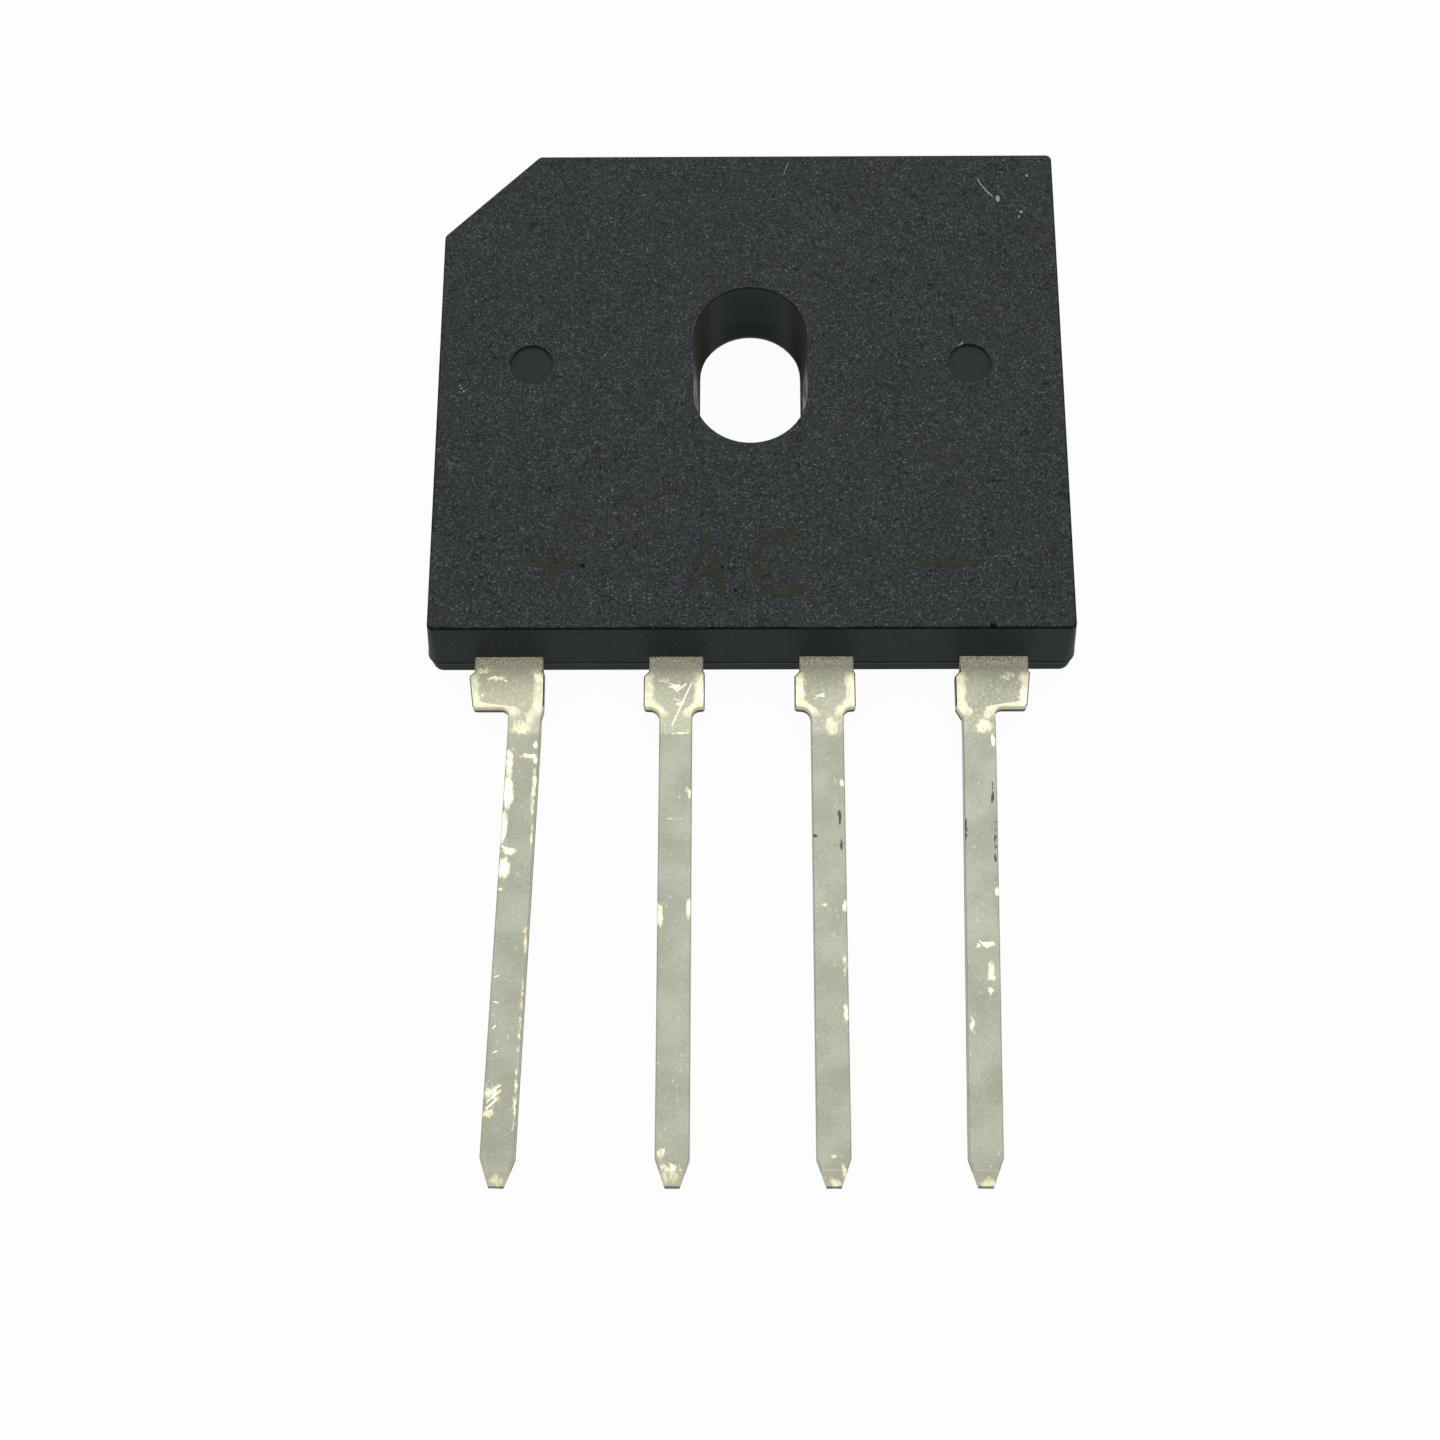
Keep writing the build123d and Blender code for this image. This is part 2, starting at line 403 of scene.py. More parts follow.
    def slot_wear_and_sheen(self, s: Shading) -> Socket:
        """Find the pale streaks that a screw has rubbed on the slot's two flat walls, whose pale colour
        also paints their grazing sheen.

        Args:
            s: the material under construction.

        Returns:
            The streaks' share.
        """
        body = self.body
        flat_end = body.slot_length / 2 - body.slot_width / 2
        along = s.times(s.ramp(s.y, 0.5, -0.45), s.ramp(s.y, -flat_end - 0.9, -flat_end - 0.4))
        high = s.times(s.ramp(s.z, body.thickness - 0.05, body.thickness - 0.2), s.ramp(s.z, 1.1, 1.8))
        streaks = s.ramp(s.noise(0.09, detail=3.0, stretch=(1, 8, 1.3), seed=5.0), 0.33, 0.68)
        return s.times(high, streaks, along)

    def edge_line(self, s: Shading, grit: Socket) -> Socket:
        """Find the rounded front edge, which shows as a thin uneven dark line.

        Args:
            s: the material under construction.
            grit: noise that makes the line uneven.

        Returns:
            The line's share.
        """
        body = self.body
        start = body.thickness - body.edge_radius
        low = s.ramp(s.z, start + 0.005, start + 0.02)
        uneven = s.noise(0.35, detail=2.0, seed=8.0)
        ragged = s.math("MULTIPLY_ADD", uneven, 0.1, s.times(grit, 0.05))
        high = s.ramp(s.math("ADD", s.z, ragged), body.thickness + 0.07, body.thickness + 0.03)
        away_from_marks = s.math("MULTIPLY_ADD", self.near_mark(s), -0.75, 0.75)
        return s.times(low, high, away_from_marks)


@dataclass(frozen=True)
class Rub:
    """A rubbed or stained patch of a lead: its middle and half sizes across and along it, in mm."""

    across: float
    out: float
    half_across: float
    half_out: float
    gain: float = 0.4


@dataclass(frozen=True)
class Scratch:
    """A fine bright scratch on a lead: its ends, across and along the lead, and its width, in mm."""

    start: tuple[float, float]
    end: tuple[float, float]
    width: float = 0.05


@dataclass(frozen=True)
class TinnedStrip:
    """Punched copper strip, matte tin plated: dull greenish grey, rubbed to a bright cream in patches."""

    lead: "Lead"
    body_bottom: float
    top: float
    margin: float = 0.34
    wide: float = 1.3
    # Real tin grain is finer than this; drawn coarser so that it still shows at the photograph's distance
    grain: float = 0.07
    grain_depth: float = 0.006
    fleck: float = 0.18
    cloud: float = 1.4
    handling: float = 0.12
    streak: float = 0.07
    dull_roughness: float = 0.48
    rubbed_roughness: float = 0.33
    exit_roughness: float = 0.56
    dull: str = "a7a999"
    shade: str = "949686"
    flattened: str = "c2c1a8"
    # Painted light: near the body the granular tin is painted much paler, making up for the body's shadow
    # and its dark reflection over it
    unpolished_painted_light: str = "e2dfc6"
    gritty_painted_light: str = "b0ad94"
    cream: str = "d8d5b2"
    pale: str = "dfdcc0"
    bright: str = "eceac6"
    mirror: str = "fbf9ec"
    # The sheared sides: a paler band under the top, then a dark torn band that is partly painted shade; the
    # dark colour also outlines the shoulders and paints shade on the tip's end face
    edge: str = "bdb9a0"
    rim: str = "2a2820"
    stain: str = "3d3a30"

    def material(self) -> bpy.types.Material:
        """Make the material.

        Returns:
            Matte tin with bright rubbed patches, sheared edges and a tip end darkened partly as painted
            shade, and a few dark stains.
        """
        lead = self.lead
        s = Shading(f"tin_plated_copper_{lead.node}")
        out = s.math("SUBTRACT", self.body_bottom, s.y)
        below_bend = s.math("MAXIMUM", s.math("SUBTRACT", out, lead.bend), 0.0)
        drift = s.times(below_bend, math.tan(math.radians(lead.lean)))
        across = s.math("ADD", s.math("SUBTRACT", s.x, lead.centre), drift)
        on_lead = node(s.tree, "ShaderNodeCombineXYZ", {0: across, 1: out}).outputs[0]

        grain = s.noise(self.grain, detail=2.0, seed=lead.centre + 4.0)
        flecks = s.noise(self.fleck, detail=4.0, stretch=(0.7, 1.3, 1.0), seed=lead.centre)
        cloud = s.noise(self.cloud, detail=3.0, seed=lead.centre + 9.0)
        margins = self.margins(s, across, out, flecks)
        worn = s.math("ADD", flecks, self.patches(s, on_lead, lead.rubs))
        worn = s.math("MULTIPLY_ADD", margins, 0.18, worn)
        rubbed = s.ramp(worn, 0.6, 0.9)
        polished = s.ramp(worn, 0.78, 0.98)
        stained = s.ramp(s.math("ADD", flecks, self.patches(s, on_lead, lead.stains)), 0.76, 0.84)
        uncoined = s.ramp(out, lead.length - lead.coined_length, lead.length - lead.coined_length - 0.06)
        past_exit = s.ramp(out, lead.exit_length - 0.1, lead.exit_length)
        on_shoulder = s.ramp(out, lead.shoulder_end - 0.02, lead.shoulder_end - 0.07)
        trimmed = s.times(past_exit, on_shoulder)
        rolled = s.times(s.ramp(s.z, self.top - 0.001, self.top - 0.006), trimmed)
        sheared = s.times(s.ramp(s.z, self.top - 0.01, self.top - 0.035), uncoined)
        sheared = s.math("MAXIMUM", sheared, rolled)

        tone = s.math("MULTIPLY_ADD", grain, 0.4, s.times(cloud, 0.6))
        colour = s.blend(s.ramp(tone, 0.35, 0.65), self.shade, self.dull)
        at_exit = s.ramp(out, 0.4, 0.1)
        flat_end = s.math("MULTIPLY_ADD", cloud, 0.3, out)
        flat = s.times(s.ramp(flat_end, lead.bend + 0.2, lead.bend), lead.pressed)
        coined = s.times(s.math("SUBTRACT", 1.0, uncoined), 0.4)
        colour = s.blend(s.math("MAXIMUM", flat, coined), colour, self.flattened)
        handled = s.ramp(s.noise(self.handling, detail=4.0, seed=lead.centre + 2.0), 0.46, 0.72)
        handled = s.times(handled, s.ramp(flat_end, lead.bend + 0.2, lead.bend))
        colour = s.blend(s.times(handled, 0.45), colour, self.cream)
        streaks = s.noise(self.streak, detail=3.0, stretch=(1, 3, 1), seed=lead.centre + 6.0)
        soft = s.math("MULTIPLY_ADD", streaks, 0.8, self.patches(s, on_lead, lead.presses))
        soft = s.math("MULTIPLY_ADD", flecks, 1.2, soft)
        pale = s.math("MAXIMUM", margins, s.ramp(soft, 1.3, 1.9))
        pale = s.times(pale, s.between(s.ramp(streaks, 0.3, 0.6), 0.75, 1.0))
        colour = s.blend(pale, colour, self.pale)
        # Painted light: the granular tin near the body is painted paler against the body's shadow and dark
        # reflection
        sandy = s.blend(s.ramp(grain, 0.36, 0.62), self.gritty_painted_light, self.unpolished_painted_light)
        colour = s.blend(at_exit, colour, sandy)
        colour = s.blend(rubbed, colour, self.cream)
        colour = s.blend(polished, colour, self.bright)
        colour = s.blend(s.ramp(worn, 0.98, 1.12), colour, self.mirror)
        colour = s.blend(s.times(stained, 0.85), colour, self.stain)
        # Painted shade: the lower part of each sheared side and the trimmed shoulders' sides and edges turn
        # dark, partly their real torn surface
        torn = s.math("MAXIMUM", s.ramp(s.z, self.top - 0.2, self.top - 0.27), trimmed)
        flank = s.blend(torn, self.edge, self.rim)
        colour = s.blend(sheared, colour, flank)
        # Painted shade: the tip's end face is darkened
        end = s.ramp(out, lead.length - 0.045, lead.length - 0.025)
        colour = s.blend(s.times(end, 0.8), colour, self.rim)
        roughness = s.between(rubbed, self.dull_roughness, self.rubbed_roughness)
        roughness = s.between(at_exit, roughness, self.exit_roughness)
        return s.finish(
            Base_Color=colour,
            Metallic=1.0,
            Roughness=roughness,
            Normal=s.bump(grain, self.grain_depth),
        )

    def margins(self, s: Shading, across: Socket, out: Socket, flecks: Socket) -> Socket:
        """Find the pale margins that are pressed along both edges of the wide part.

        A margin keeps its width from the edge, and the edge runs inwards where the wide part narrows to the
        shank: at a step on a wide side, along a slope on the others.

        Args:
            s: the material under construction.
            across: distance from the lead's middle line.
            out: distance from the body.
            flecks: noise that makes the margins' inner borders uneven.

        Returns:
            A share that is 1 on the margins.
        """
        lead = self.lead
        inside: Any = 2 * self.wide
        edges = ((-1.0, lead.exit_left + lead.left_stub), (1.0, lead.exit_right + lead.right_stub))
        for side, reach in edges:
            before, after = (0.25, 0.02) if reach > self.wide else (0.35, 0.3)
            narrowed = s.ramp(out, lead.shoulder_end - before, lead.shoulder_end + after)
            edge = s.between(narrowed, reach, lead.shank_width / 2)
            inside = s.math("MINIMUM", inside, s.math("MULTIPLY_ADD", across, -side, edge))
        uneven = s.math("MULTIPLY_ADD", flecks, 0.5, inside)
        beside = s.ramp(uneven, self.margin + 0.3, self.margin + 0.18)
        begun = s.ramp(out, lead.exit_length - 0.05, lead.exit_length + 0.2)
        ended = s.ramp(out, lead.shoulder_end + 0.45, lead.shoulder_end + 0.1)
        return s.times(begun, ended, beside)

    @staticmethod
    def patches(s: Shading, on_lead: Socket, rubs: tuple[Rub, ...]) -> Socket:
        """Lay soft oval patches over one another on the lead.

        Args:
            s: the material under construction.
            on_lead: place on the lead, across and along it.
            rubs: the patches.

        Returns:
            The strongest patch's gain at each place.
        """
        total: Any = 0.0
        for rub in rubs:
            middle = (rub.across, rub.out, 0.0)
            span = (1 / rub.half_across, 1 / rub.half_out, 1.0)
            moved = node(s.tree, "ShaderNodeVectorMath", {0: on_lead, 1: middle}, operation="SUBTRACT")
            sized = {0: moved.outputs[0], 1: span}
            scaled = node(s.tree, "ShaderNodeVectorMath", sized, operation="MULTIPLY").outputs[0]
            away = node(s.tree, "ShaderNodeVectorMath", {0: scaled}, operation="LENGTH").outputs["Value"]
            total = s.math("MAXIMUM", total, s.times(s.ramp(away, 1.6, 0.3), rub.gain))
        # Adding nothing gives a socket also where there are no patches
        return s.math("ADD", total, 0.0)


@dataclass(frozen=True)
class PlainFinish:
    """A finish of one colour with a fine cloud of a second, for sealed pieces and thin films."""

    name: str
    colour: str
    cloud: str
    metallic: float
    roughness: float
    size: float = 0.2

    def material(self) -> bpy.types.Material:
        """Make the material.

        Returns:
            The clouded surface with a shallow bump of the same cloud.
        """
        s = Shading(self.name)
        cloud = s.noise(self.size, detail=3.0)
        return s.finish(
            Base_Color=s.blend(s.ramp(cloud, 0.35, 0.7), self.colour, self.cloud),
            Metallic=self.metallic,
            Roughness=self.roughness,
            Normal=s.bump(cloud, self.size * 0.05),
        )


@dataclass(frozen=True)
class PrintInk:
    """Thin brown marking ink that has worn off the high grit, so it shows only as broken faint strokes."""

    colour: str = "3c3a29"
    dark: str = "17160f"
    grit: float = 0.08
    cover: float = 0.5

    def material(self) -> bpy.types.Material:
        """Make the material.

        Returns:
            A matte brown film with holes where the grit stands through it.
        """
        s = Shading("marking_ink_worn")
        grit = s.noise(self.grit, detail=2.0)
        patch = s.noise(0.7, detail=2.0, seed=2.0)
        there = s.ramp(s.math("MULTIPLY_ADD", patch, 0.6, s.times(grit, 0.4)), 0.62, 0.5)
        blots = s.times(s.ramp(s.noise(0.35, detail=2.0, seed=6.0), 0.56, 0.66), 0.45)
        return s.finish(
            Base_Color=s.blend(blots, self.colour, self.dark),
            Roughness=0.6,
            Specular_IOR_Level=0.22,
            Normal=s.bump(grit, 0.015),
            Alpha=s.times(there, self.cover),
        )


def grid_faces(rows: int, columns: int, wrap: bool) -> np.ndarray:
    """Faces of a grid of points.

    Face (i, j) joins points (i, j), (i, j + 1), (i + 1, j + 1) and (i + 1, j); with wrap the last row
    joins the first.

    Args:
        rows: points along the path.
        columns: points across it.
        wrap: whether the path is closed.

    Returns:
        Corner numbers, four to a face.
    """
    i = np.arange(rows if wrap else rows - 1)[:, None]
    j = np.arange(columns - 1)[None, :]
    a = i * columns + j
    b = ((i + 1) % rows) * columns + j
    return np.stack([a, a + 1, b + 1, b], axis=-1).reshape(-1, 4)


def add_object(name: str, data: Any) -> bpy.types.Object:
    """Add an object to the scene.

    Args:
        name: its name.
        data: its mesh, light or camera.

    Returns:
        The new object.
    """
    made = bpy.data.objects.new(name, data)
    bpy.context.scene.collection.objects.link(made)
    return made


class Piece:
    """A new piece gathered from grids of points in millimetres."""

    def __init__(self, name: str) -> None:
        """Start with no points.

        Args:
            name: name of the piece.
        """
        self.name = name
        self.points: list[np.ndarray] = []
        self.faces: list[np.ndarray] = []
        self.count = 0

    def add(self, grid: np.ndarray, wrap: bool = False) -> None:
        """Add a surface.

        Args:
            grid: points as rows, columns and coordinates, in millimetres.
            wrap: whether the last row joins the first.
        """
        rows, columns = grid.shape[:2]
        self.points.append(grid.reshape(-1, 3))
        self.faces.append(grid_faces(rows, columns, wrap) + self.count)
        self.count += rows * columns

    def make(self, material: bpy.types.Material) -> None:
        """Build the mesh and let it ride on the part.

        Args:
            material: the finish of the piece.
        """
        mesh = bpy.data.meshes.new(self.name)
        mesh.from_pydata(np.concatenate(self.points) * MM, [], np.concatenate(self.faces))
        self.close_poles(mesh)
        mesh.polygons.foreach_set("use_smooth", np.ones(len(mesh.polygons), bool))
        mesh.materials.append(material)
        mesh.update()
        made = add_object(self.name, mesh)
        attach(made, "root")
        log.info("%s: %d faces", self.name, len(mesh.polygons))

    @staticmethod
    def close_poles(mesh: bpy.types.Mesh) -> None:
        """Merge points that coincide, such as those at the middle of a dome.

        Args:
            mesh: the mesh that is changed.
        """
        edited = bmesh.new()
        edited.from_mesh(mesh)
        bmesh.ops.remove_doubles(edited, verts=edited.verts, dist=MERGE_DISTANCE * MM)
        edited.to_mesh(mesh)
        edited.free()


def film(path: np.ndarray, width: float, height: float, crown: float) -> np.ndarray:
    """A crowned film along a path on a level face.

    Across the stroke the height is crown times one less 1.3 times the square of the place, so that the rims
    dip below the face; along it the half width follows a half circle at each end.

    Args:
        path: points as rows of X and Y in millimetres.
        width: full width of the stroke.
        height: height of the face it lies on.
        crown: how far its middle stands above the face.

    Returns:
        The film's grid of points.
    """
    along = np.gradient(path, axis=0)
    along /= np.linalg.norm(along, axis=1, keepdims=True)
    side = np.stack([-along[:, 1], along[:, 0]], axis=1)
    steps = np.linalg.norm(np.diff(path, axis=0), axis=1)
    run = np.concatenate([[0.0], np.cumsum(steps)])
    from_end = np.minimum(run, run[-1] - run)
    half = width / 2
    share = np.clip(from_end / half, FILM_END, 1.0)
    reach = half * np.sqrt(1 - (1 - share) ** 2)
    across = np.linspace(1, -1, FILM_POINTS)
    flat = path[:, None, :] + side[:, None, :] * (reach[:, None] * across[None, :])[..., None]
    level = height + crown * (1 - FILM_DIP * across**2)[None, :] * np.ones((len(path), 1))
    return np.concatenate([flat, level[..., None]], axis=-1)


def line(start: tuple[float, float], end: tuple[float, float], points: int = 24) -> np.ndarray:
    """Points on a straight line from start to end, closer together at its ends."""
    share = (1 - np.cos(np.linspace(0, math.pi, points))) / 2
    return np.array(start) + share[:, None] * (np.array(end) - np.array(start))


def arc(centre: tuple[float, float], radii: tuple[float, float], first: float, last: float) -> np.ndarray:
    """Points on an ellipse's arc, from the first to the last angle in degrees."""
    turn = np.radians(np.linspace(first, last, ARC_POINTS))
    return np.array(centre) + np.stack([radii[0] * np.cos(turn), radii[1] * np.sin(turn)], axis=1)


def speck(x: float, y: float, height: float, radii: tuple[float, float]) -> np.ndarray:
    """A low dome: a disc in polar rings whose height falls with the square of the radius.

    Args:
        x: place of its middle.
        y: place of its middle.
        height: height of the face it lies on.
        radii: half widths along X and Y, the smaller of which also sets the dome's height.

    Returns:
        The dome's grid of points, one row to a direction.
    """
    turn = np.linspace(0, 2 * math.pi, SPECK_DIRECTIONS, endpoint=False)[:, None]
    ring = np.linspace(0, 1, SPECK_RINGS)[None, :]
    points_x = x + radii[0] * ring * np.cos(turn)
    points_y = y + radii[1] * ring * np.sin(turn)
    crown = min(radii) * SPECK_CROWN
    points_z = height + crown * (1 - SPECK_DIP * ring**2) * np.ones_like(turn)
    return np.stack([points_x, points_y, points_z], axis=-1)


def rounded_outline(corners: np.ndarray, radius: float, steps: int, spacing: float) -> np.ndarray:
    """A polygon with rounded corners as evenly spaced points.

    Each corner's arc is centred on its bisector, radius over the sine of the half angle away from the
    corner, and sweeps between the normals of its two sides.

    Args:
        corners: points as rows of X and Y, counterclockwise.
        radius: radius of the corners.
        steps: points on each corner's arc.
        spacing: distance between the points that are returned.

    Returns:
        Points as rows of X and Y.
    """
    into = corners - np.roll(corners, 1, axis=0)
    into /= np.linalg.norm(into, axis=1, keepdims=True)
    out = np.roll(into, -1, axis=0)
    start = np.arctan2(-into[:, 0], into[:, 1])
    sweep = np.arctan2(into[:, 0] * out[:, 1] - into[:, 1] * out[:, 0], np.sum(into * out, axis=1))
    centre = corners + (out - into) * (radius / np.maximum(np.sin(sweep), 1e-9))[:, None]
    turn = start[:, None] + sweep[:, None] * np.linspace(0, 1, steps)[None, :]
    rim = centre[:, None, :] + radius * np.stack([np.cos(turn), np.sin(turn)], axis=-1)
    loop = rim.reshape(-1, 2)
    closed = np.concatenate([loop, loop[:1]])
    run = np.concatenate([[0.0], np.cumsum(np.linalg.norm(np.diff(closed, axis=0), axis=1))])
    wanted = np.linspace(0, run[-1], int(run[-1] / spacing), endpoint=False)
    return np.stack([np.interp(wanted, run, closed[:, k]) for k in range(2)], axis=1)


def node_box(name: str) -> tuple[np.ndarray, np.ndarray]:
    """Lowest and highest corner of a node of the frame, in millimetres."""
    low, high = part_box(name)
    return np.array(low) / MM, np.array(high) / MM


def assign(name: str, material: bpy.types.Material) -> None:
    """Put a material on a node of the frame.

    Args:
        name: the node's name.
        material: its finish.
    """
    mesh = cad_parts[name].data
    mesh.materials.clear()
    mesh.materials.append(material)
    log.info("%s: %s", name, material.name)


@dataclass
class MouldedBody:
    """The moulded block: its surface, the flash on its parting line, its print and its scuffs, in mm."""

    corner_cut: float = 3.4
    corner_radius: float = 0.446
    edge_radius: float = 0.12
    slot_width: float = 3.58
    slot_length: float = 5.72
    mark_spacing: float = 15.1
    mark_diameter: float = 1.5
    mark_depth: float = 0.12
    flash_height: float = 0.025
    flash_spacing: float = 0.12
    flash_sink: float = 0.004
    flash_points: int = 7
    flash_mean: float = 0.65
    # Share of the height, rate in radians to the millimetre, and start of each wave of the flash
    flash_waves: tuple[tuple[float, float, float], ...] = (
        (0.2, 2.1, 0.0),
        (0.15, 5.3, 1.0),
        (0.1, 11.7, 0.0),
    )
    stroke: float = 0.36
    ink_crown: float = 0.003
    # X, Y and radius of the dark nicks in the front face and its edge
    nicks: tuple[tuple[float, float, float], ...] = (
        (7.98, -9.8, 0.16),
        (8.1, -9.88, 0.1),
        (-1.34, -9.86, 0.1),
        (-5.62, -7.6, 0.11),
        (-0.97, -7.67, 0.1),
        (-0.55, -8.49, 0.1),
    )

    def __post_init__(self) -> None:
        """Read the block's outline from the frame, and the parting line from the back of the leads."""
        low, high = node_box("moulded_body")
        self.side = float(high[0])
        self.bottom, self.top = float(low[1]), float(high[1])
        self.thickness = float(high[2])
        self.parting = float(node_box("lead_ac_left")[0][2])

    def dress(self) -> None:
        """Give the moulded node its finish."""
        assign("moulded_body", MouldedEpoxy(self).material())

    def build_flash(self, leads: list["Lead"]) -> None:
        """Lay the thin ridge of moulding flash round the parting line.

        The ridge is a half round carried along the body's outline; its height is a sum of sines of the
        distance round the body, and falls to nothing at the leads.

        Args:
            leads: the leads that interrupt the ridge.
        """
        corners = np.array(
            [
                (-self.side, self.bottom),
                (self.side, self.bottom),
                (self.side, self.top),
                (-self.side + self.corner_cut, self.top),
                (-self.side, self.top - self.corner_cut),
            ]
        )
        path = rounded_outline(corners, self.corner_radius, self.flash_points, self.flash_spacing)
        along = np.roll(path, -1, axis=0) - np.roll(path, 1, axis=0)
        along /= np.linalg.norm(along, axis=1, keepdims=True)
        outward = np.stack([along[:, 1], -along[:, 0]], axis=1)
        run = np.arange(len(path)) * self.flash_spacing
        waves = [size * np.sin(run * rate + first) for size, rate, first in self.flash_waves]
        uneven = self.flash_mean + sum(waves)
        clear = np.ones(len(path))
        for lead in leads:
            low, high = lead.centre - lead.exit_left, lead.centre + lead.exit_right
            beside = (path[:, 0] > low) & (path[:, 0] < high) & (path[:, 1] < self.bottom + 0.1)
            clear = np.where(beside, 0.0, clear)
        swell = self.flash_height * uneven * clear
        turn = np.linspace(math.pi / 2, -math.pi / 2, self.flash_points)
        reach = swell[:, None] * np.cos(turn)[None, :] - self.flash_sink
        flat = path[:, None, :] + outward[:, None, :] * reach[..., None]
        rise = self.parting + 1.2 * self.flash_height * np.sin(turn)[None, :] * np.ones((len(path), 1))
        piece = Piece("parting_line_flash")
        piece.add(np.concatenate([flat, rise[..., None]], axis=-1), wrap=True)
        # Thin torn epoxy, a dull dark line round the body, painted darker than the epoxy as shade along the
        # parting line
        flash = PlainFinish("epoxy_flash", "14181a", "23292b", 0.0, 0.6, 0.15)
        piece.make(flash.material())

    def build_print(self) -> None:
        """Print the plain polarity marks above the leads."""
        strokes = [
            line((-7.45, -7.52), (-5.77, -7.52)),
            line((-6.61, -6.6), (-6.61, -8.45)),
            line((5.46, -7.52), (7.54, -7.52)),
            line((-2.1, -8.55), (-1.5, -6.38)),
            line((-1.5, -6.38), (-0.92, -8.55)),
            line((-1.88, -7.86), (-1.1, -7.86)),
            arc((1.05, -7.52), (0.9, 1.13), 42, 318),
        ]
        piece = Piece("polarity_marks")
        # Each stroke is a little higher than the last, so that strokes that cross do not share a level
        for number, path in enumerate(strokes):
            piece.add(film(path, self.stroke, self.thickness, self.ink_crown * (1 + 0.1 * number)))
        piece.make(PrintInk().material())

    def build_scuffs(self) -> None:
        """Lay the pale scratches and the dust specks on the front face."""
        piece = Piece("front_scuffs")
        bend = np.linspace(0, 1, 24)[:, None]
        scratch = np.array((8.08, 7.4)) * (1 - bend) + np.array((8.62, 6.65)) * bend
        scratch = scratch + 0.05 * np.sin(math.pi * bend) * np.array((-0.7, -0.5))
        piece.add(film(scratch, 0.05, self.thickness, 0.006))
        piece.add(film(line((1.37, 8.1), (1.19, 7.56)), 0.022, self.thickness, 0.003))
        piece.add(film(line((7.2, 0.68), (7.36, 0.82)), 0.05, self.thickness, 0.004))
        # X, Y and half widths of the dust specks
        for x, y, radii in (
            (8.78, 6.57, (0.08, 0.14)),
            (9.59, 6.03, (0.06, 0.06)),
            (9.85, 7.52, (0.05, 0.06)),
            (9.5, 5.84, (0.04, 0.04)),
            (-9.95, -0.92, (0.05, 0.03)),
            (-9.86, -1.03, (0.04, 0.03)),
            (-9.99, -0.82, (0.02, 0.04)),
        ):
            piece.add(speck(x, y, self.thickness, radii), wrap=True)
        # Pale chalky marks, the lightest spots on the black face
        dust = PlainFinish("pale_dust", "a9adad", "6f7474", 0.0, 0.8, 0.06)
        piece.make(dust.material())


@dataclass(frozen=True)
class Lead:
    """One lead: where it stands in the row, how far its wide part reaches and where it is worn, in mm."""

    node: str
    centre: float
    exit_left: float
    exit_right: float
    lean: float
    pressed: float
    rubs: tuple[Rub, ...]
    presses: tuple[Rub, ...] = ()
    stains: tuple[Rub, ...] = ()
    scratches: tuple[Scratch, ...] = ()
    bend: float = 2.75
    length: float = 17.76
    coined_length: float = 0.5
    exit_length: float = 0.48
    shoulder_end: float = 1.78
    shank_width: float = 1.1
    left_stub: float = 0.17
    right_stub: float = 0.05

    @property
    def top(self) -> float:
        """Height of the lead's front face."""
        return float(node_box(self.node)[1][2])

    def dress(self, body: MouldedBody) -> None:
        """Give the lead its tin, rubbed and stained in this lead's own places.

        Args:
            body: the body that the lead comes out of.
        """
        tin = TinnedStrip(self, body.bottom, self.top)
        assign(self.node, tin.material())

    def place(self, across: float, out: float, body: MouldedBody) -> tuple[float, float]:
        """Turn a place on the lead into X and Y, along the lead's lean below the bend.

        Args:
            across: distance from the lead's middle line.
            out: distance from the body.
            body: the body that the lead comes out of.

        Returns:
            X and Y of the place.
        """
        drift = math.tan(math.radians(self.lean)) * max(out - self.bend, 0.0)
        return self.centre + across - drift, body.bottom - out


